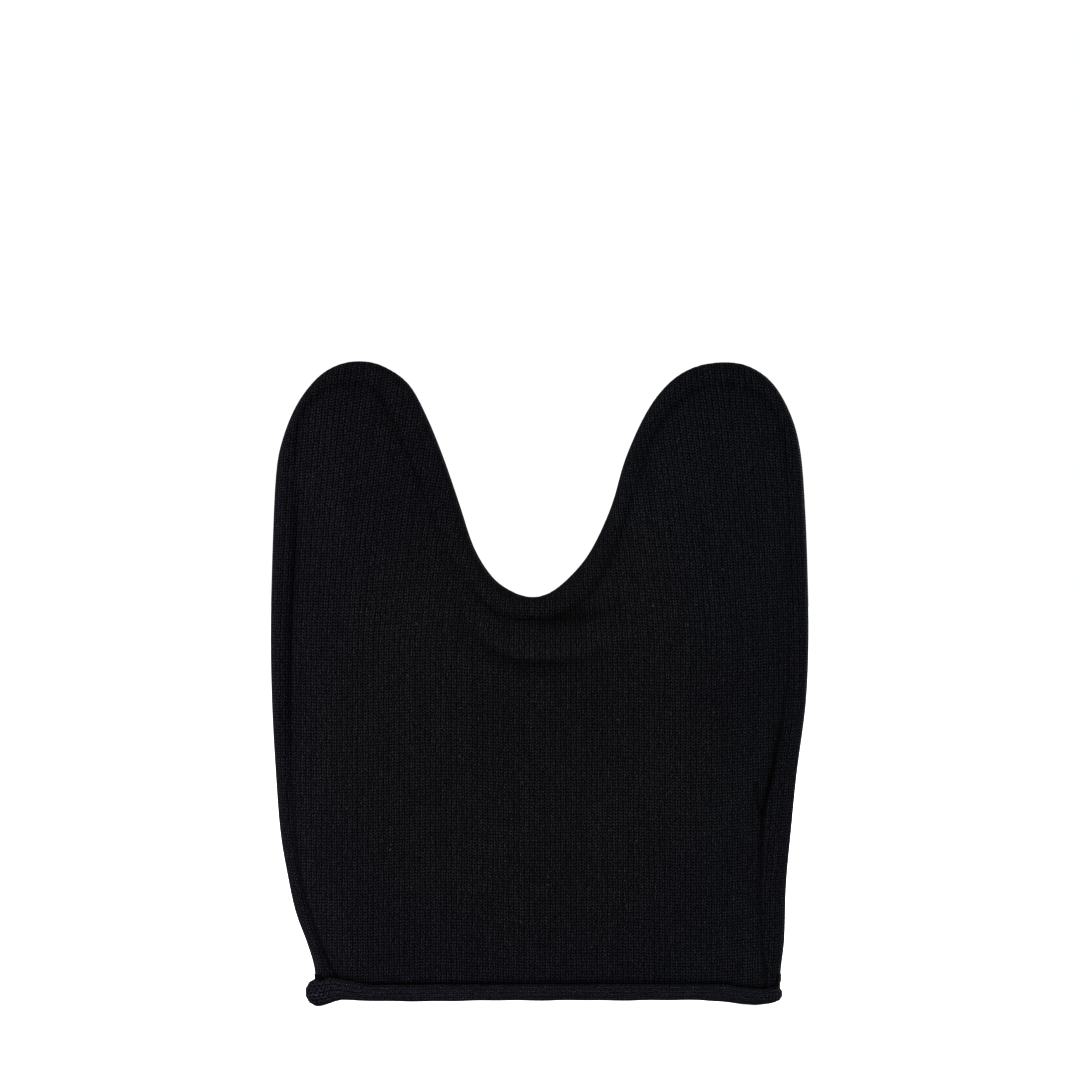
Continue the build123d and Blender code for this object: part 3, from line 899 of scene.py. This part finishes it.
# ---------------------------------------------------------------------------
# The stage. A plain pale floor that glows a little as a light table does, white all round, and
# soft lights in front, behind and at both sides. The camera looks level at the back of the hood.
# ---------------------------------------------------------------------------
floor_radius, floor_drop = 12.0, 0.0008
bm = bmesh.new()
bmesh.ops.create_circle(bm, cap_ends=True, segments=96, radius=floor_radius)
bmesh.ops.translate(bm, vec=(0, 0, -floor_drop), verts=bm.verts[:])
floor_mesh = bpy.data.meshes.new("floor")
bm.to_mesh(floor_mesh)
bm.free()
floor = bpy.data.objects.new("floor", floor_mesh)
bpy.context.scene.collection.objects.link(floor)
paint = Nodes("pale_floor")
grain = paint.new("ShaderNodeTexNoise", Scale=3.0, Detail=2.0)
floor_grey = paint.mix(grain.outputs[0], (0.40, 0.40, 0.40), (0.42, 0.42, 0.42))
paint.put(paint.shader, "Base Color", floor_grey)
paint.shader.inputs["Roughness"].default_value = 0.9
paint.shader.inputs["Emission Color"].default_value = (1, 1, 1, 1)
paint.shader.inputs["Emission Strength"].default_value = 0.9
paint.shader.inputs["Specular IOR Level"].default_value = 0.0
floor.data.materials.append(paint.material)

world = bpy.data.worlds.new("white_room")
world.use_nodes = True
world.node_tree.nodes["Background"].inputs["Color"].default_value = (1, 1, 1, 1)
world.node_tree.nodes["Background"].inputs["Strength"].default_value = 1.02
bpy.context.scene.world = world


def soft_light(name, place, aim, size, power):
    lamp = bpy.data.lights.new(name, "AREA")
    lamp.size = size
    lamp.energy = power
    light = bpy.data.objects.new(name, lamp)
    light.location = place
    light.rotation_mode = "QUATERNION"
    light.rotation_quaternion = (Vector(aim) - Vector(place)).to_track_quat("-Z", "Y")
    bpy.context.scene.collection.objects.link(light)


middle = (0, 0, 0.15)
soft_light("front_key", (-0.7, -1.7, 1.3), middle, 0.55, 22)
soft_light("front_fill_left", (-1.2, -1.5, 0.34), middle, 0.65, 50)
soft_light("front_fill_right", (1.3, -1.3, 0.34), middle, 0.65, 12)
soft_light("back_key", (0.7, 1.7, 1.3), middle, 0.55, 22)
soft_light("back_fill_left", (-1.3, 1.3, 0.34), middle, 0.65, 12)
soft_light("back_fill_right", (1.2, 1.5, 0.34), middle, 0.65, 50)
soft_light("left_side", (-2.3, 0, 0.5), middle, 0.9, 42)
soft_light("right_side", (2.3, 0, 0.5), middle, 0.9, 42)

view_height, view_away, view_wide = 0.2134, 2.0, 0.4968
sensor_wide = 36.0
camera = bpy.data.objects.new("camera", bpy.data.cameras.new("camera"))
camera.location = (0, -view_away, view_height)
camera.rotation_euler = (radians(90), 0, 0)
camera.data.sensor_width = sensor_wide
camera.data.lens = sensor_wide * view_away / view_wide
bpy.context.scene.collection.objects.link(camera)
bpy.context.scene.camera = camera
bpy.context.scene.view_settings.view_transform = "Standard"
bpy.context.scene.view_settings.gamma = 0.66
